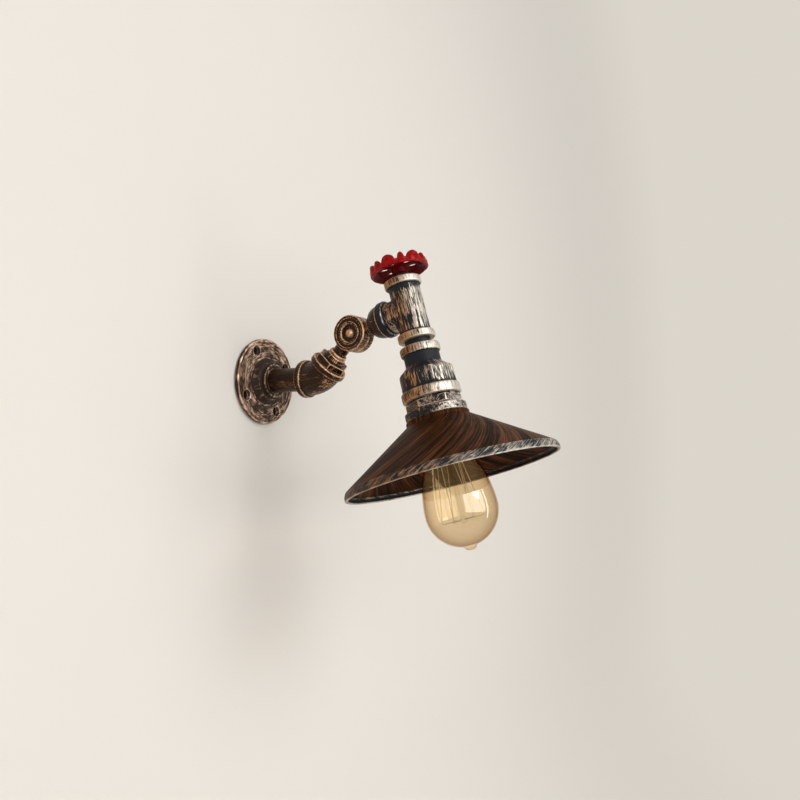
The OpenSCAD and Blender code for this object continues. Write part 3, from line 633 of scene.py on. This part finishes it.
LOBES = 6
LOBE_STEP = 360 / LOBES
LOBE_ANGLE = 67.0
LOBE_HALF_WIDTH = 16.0
LOBE_RISE = 4.2
NUB_ANGLE = 37.0
NUB_HALF_WIDTH = 8.0
NUB_RISE = 3.8

# How much further out the rim's foot and head stand at a lobe or nub
LOBE_FOOT_OUT = 0.5
LOBE_HEAD_OUT = 2.4
NUB_HEAD_OUT = 1.8

# The rim's foot stands at this height above the tee's middle, and its head leans in over the web's edge
RIM_FOOT = 33.5
RIM_RISE = 6.0
FOOT_R = 24.1
HEAD_R = 21.2
INNER_R = 17.2
INNER_LOW = 3.7
INNER_HIGH = 4.8

# The slope under the rim runs from here in to its inner edge
SLOPE_R = 22.7

# A dimple in the outer face of each lobe, at this share of the lobe's height
DIMPLE_DEPTH = 2.2
DIMPLE_WIDTH = 1.7
DIMPLE_SHARE = 0.6

CROWN_STEPS = 360
SIDE_STEPS = 5

HOLE_CIRCLE_R = 12.0
HOLE_R = 3.6
DRILL_LOW = 36.0
DRILL_HIGH = 40.0


def off_nearest(angle, first):
    """Degrees from the nearest of six places that stand evenly round, beginning with the first."""
    return (angle - first + LOBE_STEP / 2) % LOBE_STEP - LOBE_STEP / 2


def arch(off, half_width):
    """A round arch, 1 at its top."""
    share = max(0.0, 1 - (off / half_width) ** 2)
    return share ** 0.6


def crown_section(angle):
    """The rim's closed section at an angle, as (radius, height) points with the same count all round."""
    off_lobe = off_nearest(angle, LOBE_ANGLE)
    lobe = arch(off_lobe, LOBE_HALF_WIDTH)
    nub = arch(off_nearest(angle, NUB_ANGLE), NUB_HALF_WIDTH)
    top = RIM_RISE + LOBE_RISE * lobe + NUB_RISE * nub
    foot = FOOT_R + LOBE_FOOT_OUT * lobe
    head = HEAD_R + LOBE_HEAD_OUT * lobe + NUB_HEAD_OUT * nub
    corners = [
        (foot - 1.9, 0.0), (foot - 0.4, 0.0), (foot, 0.6), (0.55 * foot + 0.45 * head + 0.5, 0.5 * top),
        (head + 0.1, top - 1.2), (head - 0.7, top - 0.3), (head - 1.7, top), (head - 2.7, top - 0.4),
        (head - 3.4, top - 1.5), (INNER_R, INNER_HIGH), (INNER_R, INNER_LOW),
    ]
    points = []
    for i, corner in enumerate(corners):
        start = Vector(corner)
        end = Vector(corners[(i + 1) % len(corners)])
        points += [start.lerp(end, k / SIDE_STEPS) for k in range(SIDE_STEPS)]
    sideways = math.radians(off_lobe) * head
    for point in points:
        if point.x > head - 0.6 and point.y > 2:
            away = sideways ** 2 + (point.y - DIMPLE_SHARE * top) ** 2
            point.x -= DIMPLE_DEPTH * math.exp(-away / DIMPLE_WIDTH ** 2)
        point.y += RIM_FOOT
    return points


# The faces under the rim, which take the darker red as painted shade
def under_rim(radius, height):
    slope = INNER_LOW * (SLOPE_R - radius) / (SLOPE_R - INNER_R)
    return height - RIM_FOOT < slope + 0.1


def bored_mesh(mesh, centres, radius, low, high, place):
    """The mesh with straight round holes cut through it."""
    body = add_object("bored", mesh)
    drills = []
    for x, y in centres:
        tool = bmesh.new()
        bmesh.ops.create_cone(
            tool, cap_ends=True, segments=48,
            radius1=radius * MM, radius2=radius * MM, depth=(high - low) * MM,
        )
        middle = Vector((x, y, (low + high) / 2)) * MM
        bmesh.ops.transform(tool, matrix=place @ Matrix.Translation(middle), verts=tool.verts)
        drill_mesh = bpy.data.meshes.new("drill")
        tool.to_mesh(drill_mesh)
        tool.free()
        drill = add_object("drill", drill_mesh)
        cut = body.modifiers.new("cut", "BOOLEAN")
        cut.operation = "DIFFERENCE"
        cut.solver = "EXACT"
        cut.object = drill
        drills.append(drill)
    result = with_modifiers(body)
    for helper in drills + [body]:
        bpy.data.objects.remove(helper)
    return result


crown_sections = [crown_section(360 * k / CROWN_STEPS) for k in range(CROWN_STEPS)]
crown = ring_mesh("handwheel_crown", crown_sections, UP)
# The rim's underside takes the darker red, as painted shade
dress(add_object("handwheel_crown", crown), "valve_wheel", "handwheel", "wheel_red", second="web_red")
finish_faces(crown, UP, under_rim)

web_outline = [
    (3.05, 31.5), (5.9, 31.5), (6.5, 32.1), (6.5, 36.4), (7.0, 36.9), (17.6, 36.9), (17.6, 38.7),
    (7.2, 38.7), (5.9, 38.9), (3.05, 38.9),
]
hole_turns = [math.radians(LOBE_ANGLE + LOBE_STEP * k) for k in range(LOBES)]
hole_centres = [(HOLE_CIRCLE_R * math.cos(turn), HOLE_CIRCLE_R * math.sin(turn)) for turn in hole_turns]
web = lathe_mesh("handwheel_web", web_outline, UP, segments=96)
web = bored_mesh(web, hole_centres, HOLE_R, DRILL_LOW, DRILL_HIGH, UP)
# The web is all in the darker red, as painted shade
web.materials.clear()
web.materials.append(finishes["web_red"])
web_piece = add_object("handwheel_web", web)
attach(web_piece, "valve_wheel")


# The shade, turned from sheet, with its lip rolled in at the rim

SHADE_NECK_R = 26.0
LIP_TOP = 134.7
LIP_INNER_R = 84.4
SWIRL_SPEED = 20
SWIRL_TWIST = 0.9
LIP_LEAN = 0.02

shade_outline = [
    (16.85, 91.6), (25.2, 91.6), (SHADE_NECK_R, 92.4), (SHADE_NECK_R, 95.2), (85.5, LIP_TOP), (86.9, 137.9),
    (86.9, 141.1), (84.5, 141.1), (84.5, 139.9), (85.7, 139.9), (85.7, 137.9), (84.3, 135.9), (24.8, 96.4),
    (24.8, 92.8), (16.85, 92.8),
]


def swirl(local):
    """Marks that leave the shade's middle and swing round as they go out, and lean a little on its lip."""
    radius, _ = polar(local)
    out = np.log(radius / SHADE_NECK_R)
    below = np.maximum(local[:, 2] - LIP_TOP, 0)
    angle = np.arctan2(local[:, 1], local[:, 0]) - SWIRL_TWIST * out - LIP_LEAN * below
    return np.stack([SWIRL_SPEED * np.cos(angle), SWIRL_SPEED * np.sin(angle), 0.5 * out + 0.05 * below], 1)


def on_lip(radius, height):
    return height > LIP_TOP and radius > LIP_INNER_R


shade_outline = divided(rounded(shade_outline, radius=0.5), longest=2.0)
shade = lathe_mesh("shade_spun", shade_outline, DOWN, segments=224)
store_wear_and_painted_light(shade, blur=1)
store_brush(shade, DOWN, swirl)
dress(add_object("shade_spun", shade), "lamp_head", "shade", "shade_paint", second="shade_lip")
finish_faces(shade, DOWN, on_lip)


# The bulb: a pear of thin glass with a pip where it was sealed

BULB_R = 29.0
BULB_MIDDLE = 167.6
NECK_R = 13.6
NECK_TOP = 89.6
GLASS_TOP = 83.8
GLASS_WALL = 0.9
PIP_TOP = 196.9
PEAR_STEPS = 40
DOME_STEPS = 31

# The dome stops this many steps short of the axis, where the pip begins
PIP_STEPS = 4

# A turned outline starts and ends this near to the axis
AXIS_GAP = 0.05


def bulb_line(collar_r, collar_end, inset):
    """Half outline of the bulb from its collar in the cap to its pip."""
    line = [(collar_r, GLASS_TOP), (collar_r, collar_end)]
    for i in range(PEAR_STEPS + 1):
        t = i / PEAR_STEPS
        swell = (BULB_R - NECK_R) * (1 - math.cos(math.pi * t)) / 2
        line.append((NECK_R - inset + swell, NECK_TOP + (BULB_MIDDLE - NECK_TOP) * t))
    for i in range(1, DOME_STEPS - PIP_STEPS + 1):
        turn = math.pi / 2 * i / DOME_STEPS
        line.append(((BULB_R - inset) * math.cos(turn), BULB_MIDDLE + (BULB_R - inset) * math.sin(turn)))
    return line


def on_pip(radius, height):
    return height > PIP_TOP


pip = [
    (5.3, 196.5), (4.85, 197.0), (4.6, 197.5), (4.3, 198.1), (3.7, 198.7), (2.6, 199.2), (1.3, 199.47),
    (AXIS_GAP, 199.55),
]
outside = bulb_line(collar_r=12.8, collar_end=89.2, inset=0.0)
inside = bulb_line(collar_r=11.95, collar_end=88.6, inset=GLASS_WALL)
inside.append((AXIS_GAP, BULB_MIDDLE + BULB_R - GLASS_WALL))
glass = lathe_mesh("bulb_glass_blown", outside + pip + inside[::-1], DOWN, segments=128)
dress(add_object("bulb_glass_blown", glass), "lamp_head", "bulb_glass", "amber_glass", second="amber_pip")
finish_faces(glass, DOWN, on_pip)


# Nodes shown as they are, with their finishes

shown = {
    "friction_washer": "washer_fibre", "pivot_nut": "dark_steel",
    "switch_body": "black_plastic", "switch_nut": "dark_steel", "switch_leads": "lead_plastic",
    "shade_ring": "black_plastic", "lampholder_body": "black_plastic", "lampholder_shell": "contact_brass",
    "lampholder_contact": "contact_brass", "bulb_cap": "contact_brass", "bulb_insulator": "black_plastic",
    "bulb_contact": "contact_brass", "bulb_stem": "stem_glass", "bulb_supports": "wire_steel",
    "bulb_filament": "filament_wire", "switch_spindle": "spindle_steel", "wheel_nut": "wheel_red",
}
for node, finish in shown.items():
    nodes[node].data.materials.clear()
    nodes[node].data.materials.append(finishes[finish])


# Stage: a pale wall behind the flange that runs down into a pale floor. Its sizes are in metres.

BACKDROP = (0.71, 0.67, 0.60, 1.0)
STAGE_COLOR = (0.78, 0.74, 0.68, 1.0)
# A dark round patch on the wall behind the flange, painted shade that shows through the screw holes
PAINTED_SHADE_COLOR = rgb(38, 32, 28)
PAINTED_SHADE_R = 0.036
FADE_START = 0.5
FADE_END = 1.6

# The wall stands a little behind the flange's back face
WALL_GAP = 0.001
WALL_TOP = 2.2
FLOOR = -0.75
FLOOR_FRONT = -4.0
STAGE_HALF_WIDTH = 4.0
CURVE_R = 0.35
CURVE_STEPS = 16


def seen_share(paint):
    """1 for what the camera sees, straight or in metal and glass, and 0 for light that falls on things."""
    path = paint.add("ShaderNodeLightPath")
    share = path.outputs["Is Camera Ray"]
    for ray in ("Is Glossy Ray", "Is Transmission Ray"):
        share = paint.math("MAXIMUM", share, path.outputs[ray])
    return share


def stage_material(name):
    """A matt stage, clear from behind, that runs out into the backdrop's colour far from the lamp. Behind
    the flange it has a dark round patch of painted shade, which the camera sees but light passes."""
    paint = Paint(bpy.data.materials.new(name))
    length = paint.add("ShaderNodeVectorMath", operation="LENGTH")
    paint.link(paint.spot(), length.inputs[0])
    distance = length.outputs["Value"]
    # The patch of painted shade behind the flange: dark for the camera, clear for light
    painted_shade_spot = paint.math("LESS_THAN", distance, PAINTED_SHADE_R)
    matt = paint.add("ShaderNodeBsdfDiffuse")
    paint.link(paint.mix(painted_shade_spot, STAGE_COLOR, PAINTED_SHADE_COLOR), matt.inputs["Color"])
    far = paint.add("ShaderNodeEmission")
    far.inputs["Color"].default_value = BACKDROP
    far_share = paint.times(paint.span(distance, FADE_START, FADE_END), seen_share(paint))
    shown_side = paint.blend(far_share, matt.outputs["BSDF"], far.outputs["Emission"])
    unseen = paint.math("SUBTRACT", 1.0, paint.add("ShaderNodeLightPath").outputs["Is Camera Ray"])
    behind = paint.add("ShaderNodeNewGeometry").outputs["Backfacing"]
    passed = paint.math("MAXIMUM", behind, paint.times(painted_shade_spot, unseen))
    clear = paint.add("ShaderNodeBsdfTransparent")
    return paint.finished(paint.blend(passed, shown_side, clear.outputs["BSDF"]))


def make_stage():
    line = [(WALL_GAP, WALL_TOP), (WALL_GAP, FLOOR + CURVE_R)]
    for i in range(1, CURVE_STEPS + 1):
        angle = math.pi / 2 * i / CURVE_STEPS
        line.append((WALL_GAP - CURVE_R * (1 - math.cos(angle)), FLOOR + CURVE_R * (1 - math.sin(angle))))
    line.append((FLOOR_FRONT, FLOOR))
    vertices = [(x, y, z) for y, z in line for x in (-STAGE_HALF_WIDTH, STAGE_HALF_WIDTH)]
    faces = [(2 * i, 2 * i + 2, 2 * i + 3, 2 * i + 1) for i in range(len(line) - 1)]
    mesh = bpy.data.meshes.new("stage")
    mesh.from_pydata(vertices, [], faces)
    shade_smooth(mesh)
    mesh.materials.append(stage_material("stage_pale"))
    add_object("stage", mesh)


make_stage()


# Camera, as it was fitted to the photograph: angles in degrees, lens and sensor in millimetres

CAMERA_AZIMUTH = -59.076
CAMERA_ELEVATION = -3.445
CAMERA_ROLL = -0.14
CAMERA_TARGET = Vector((58.263, -110.0, -17.474))
CAMERA_DISTANCE = 773.79
CAMERA_LENS = 38.707
CAMERA_SENSOR = 36.0

azimuth = math.radians(CAMERA_AZIMUTH)
elevation = math.radians(CAMERA_ELEVATION)
to_right = Vector((math.cos(azimuth), math.sin(azimuth), 0.0))
to_front = Vector((math.sin(azimuth), -math.cos(azimuth), 0.0))


def make_camera():
    back = to_front * math.cos(elevation) + Vector((0, 0, math.sin(elevation)))
    level = Matrix((to_right, back.cross(to_right), back)).transposed()
    roll = Matrix.Rotation(math.radians(CAMERA_ROLL), 3, back)
    lens = bpy.data.cameras.new("camera")
    lens.lens = CAMERA_LENS
    lens.sensor_width = CAMERA_SENSOR
    lens.clip_start = 0.01
    camera = add_object("camera", lens)
    place = (CAMERA_TARGET + back * CAMERA_DISTANCE) * MM
    camera.matrix_world = Matrix.Translation(place) @ (roll @ level).to_4x4()
    scene.camera = camera


make_camera()


# Light: a broad soft sun from the camera's right, three softboxes that show in the glass, and an even room.
# Places are metres to the right, to the front and up from the lamp's middle, as the camera sees it.

LAMP_MIDDLE = Vector((0.0, -0.13, 0.0))
SUN_STRENGTH = 0.7
SUN_WIDTH = 25.0
SUN_PLACE = (1.0, 0.7, 0.9)
ROOM_COLOR = (0.96, 0.97, 1.0, 1.0)
ROOM_STRENGTH = 0.25

# Name, place, width and height in metres, power in watts
softboxes = [
    ("right_box", (0.9, 1.0, 0.25), 1.7, 0.95, 14.0),
    ("right_strip", (1.1, 0.15, 0.1), 0.1, 1.1, 1.6),
    ("left_box", (-1.0, 0.75, 0.2), 0.8, 1.0, 5.0),
]


def add_light(name, light, place):
    """The light stands at the place and looks at the lamp's middle."""
    right, front, up = place
    way = to_right * right + to_front * front + Vector((0, 0, up))
    lamp = add_object(name, light)
    lamp.location = LAMP_MIDDLE + way
    lamp.rotation_euler = way.to_track_quat("Z", "Y").to_euler()


def make_lights():
    sun = bpy.data.lights.new("sun", "SUN")
    sun.energy = SUN_STRENGTH
    sun.angle = math.radians(SUN_WIDTH)
    add_light("sun", sun, SUN_PLACE)
    for name, place, width, height, power in softboxes:
        light = bpy.data.lights.new(name, "AREA")
        light.shape = "RECTANGLE"
        light.size = width
        light.size_y = height
        light.energy = power
        add_light(name, light, place)


def make_room():
    """A world that lights things evenly and shows the backdrop's colour to the camera."""
    world = bpy.data.worlds.new("room")
    paint = Paint(world, output="ShaderNodeOutputWorld")
    sky = paint.add("ShaderNodeBackground")
    sky.inputs["Color"].default_value = ROOM_COLOR
    sky.inputs["Strength"].default_value = ROOM_STRENGTH
    seen = paint.add("ShaderNodeBackground")
    seen.inputs["Color"].default_value = BACKDROP
    paint.finished(paint.blend(seen_share(paint), sky.outputs["Background"], seen.outputs["Background"]))
    scene.world = world


make_lights()
make_room()
scene.view_settings.view_transform = "Standard"
